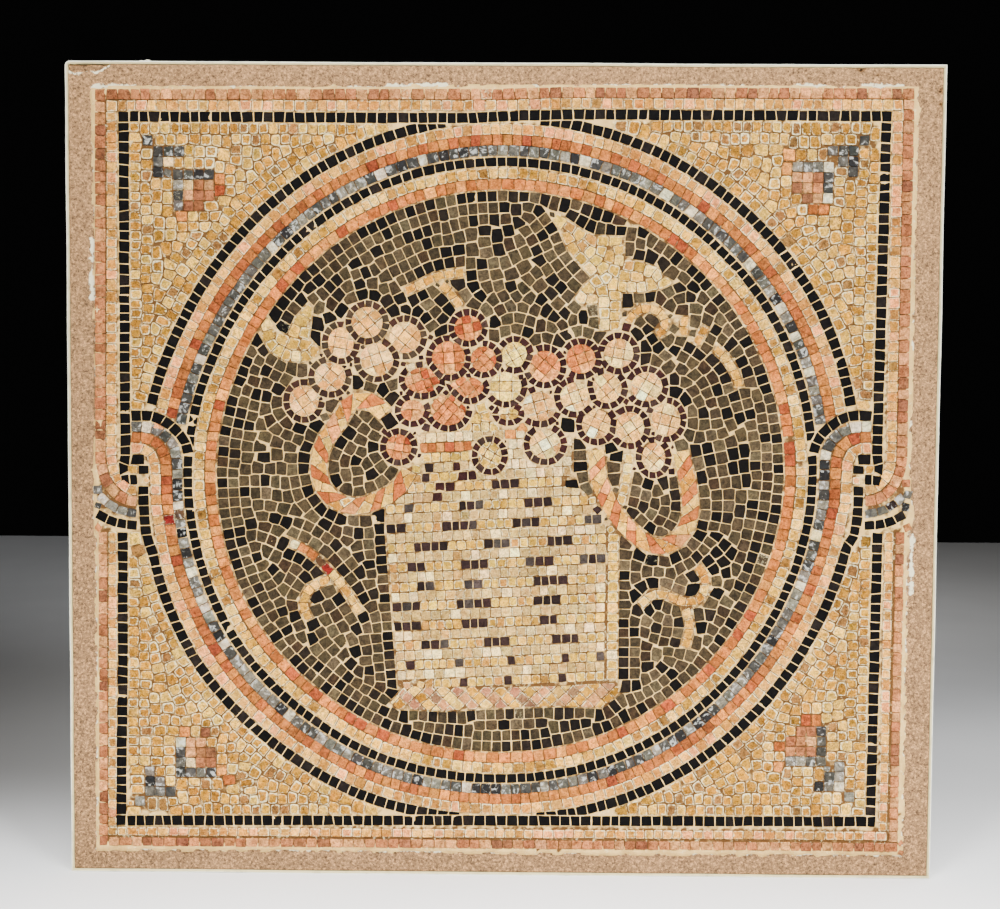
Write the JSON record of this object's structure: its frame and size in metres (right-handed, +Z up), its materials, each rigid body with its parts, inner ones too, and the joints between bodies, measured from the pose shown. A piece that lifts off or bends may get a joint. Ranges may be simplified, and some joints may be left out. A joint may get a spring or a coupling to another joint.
{
  "type": "mosaic panel",
  "caption": "Nearly square wall panel: stone mosaic of a fruit basket in a ring that interlaces with a square border, on a mortar slab in a thin metal edge frame.",
  "frame": {"origin": "centre of the flat back of the panel, which lies against the wall", "axes": "+Z up, +X to the right as seen from the front, +Y into the wall; the mosaic faces -Y"},
  "size_m": [0.9, 0.0325, 0.842],
  "materials": {
    "cream_metal": "cream paint, satin, lightly worn",
    "mortar": "sanded pinkish-brown mortar",
    "lime": "pale lime mortar, uneven",
    "black": "honed black limestone, worn",
    "taupe": "honed brown and black limestone, worn",
    "rose": "honed rose limestone, worn",
    "peach": "honed peach limestone, worn",
    "orange": "honed orange-red limestone, worn",
    "marble": "blue-grey veined marble",
    "ochre": "honed ochre limestone, worn",
    "pink": "honed pink-orange limestone, worn",
    "sand": "honed beige and ochre limestone, worn",
    "rope": "yellow, cream and pink limestone, worn",
    "pale": "pale cream limestone, worn",
    "fruit": "pale peach limestone, worn"
  },
  "bodies": {
    "root": {"edge_frame": "cream_metal", "mortar_slab": "mortar", "setting_bed": "lime", "rose_border_upper": "rose", "rose_border_lower": "rose", "peach_border_upper": "peach", "peach_border_lower": "peach", "black_interlace_upper": "black", "black_interlace_lower": "black", "black_ring_inner": "black", "peach_band_upper": "peach", "orange_band_upper": "orange", "marble_band_upper": "marble", "peach_band_lower": "peach", "orange_band_lower": "orange", "marble_band_lower": "marble", "ochre_ring": "ochre", "pink_ring": "pink", "knot_tail_left": "marble", "knot_eye_left": "pale", "knot_tail_right": "marble", "knot_eye_right": "pale", "corner_field_top_left": "ochre", "corner_steps_top_left": "marble", "corner_bracket_top_left": "marble", "corner_block_top_left": "rose", "corner_field_top_right": "ochre", "corner_steps_top_right": "marble", "corner_bracket_top_right": "marble", "corner_block_top_right": "rose", "corner_field_bottom_right": "ochre", "corner_steps_bottom_right": "marble", "corner_bracket_bottom_right": "marble", "corner_block_bottom_right": "rose", "corner_field_bottom_left": "ochre", "corner_steps_bottom_left": "marble", "corner_bracket_bottom_left": "marble", "corner_block_bottom_left": "rose", "basket_wall": "sand", "basket_side_column": "ochre", "basket_foot": "rope", "handle_left": "rope", "handle_right": "rope", "fruits_left": "fruit", "fruits_middle": "orange", "fruits_right": "pale", "fruit_hanging_left": "orange", "fruit_hanging_middle": "ochre", "leaf": "pale", "bird": "pale", "twig": "pale", "small_arch": "pale", "dash_inner": "pale", "dash_outer": "pale", "curved_band": "pale", "left_hook": "pale", "right_scroll": "pale", "dark_ground": "taupe", "dark_ground_in_handle": "taupe", "fruit_infill": "ochre"}
  },
  "joints": []
}
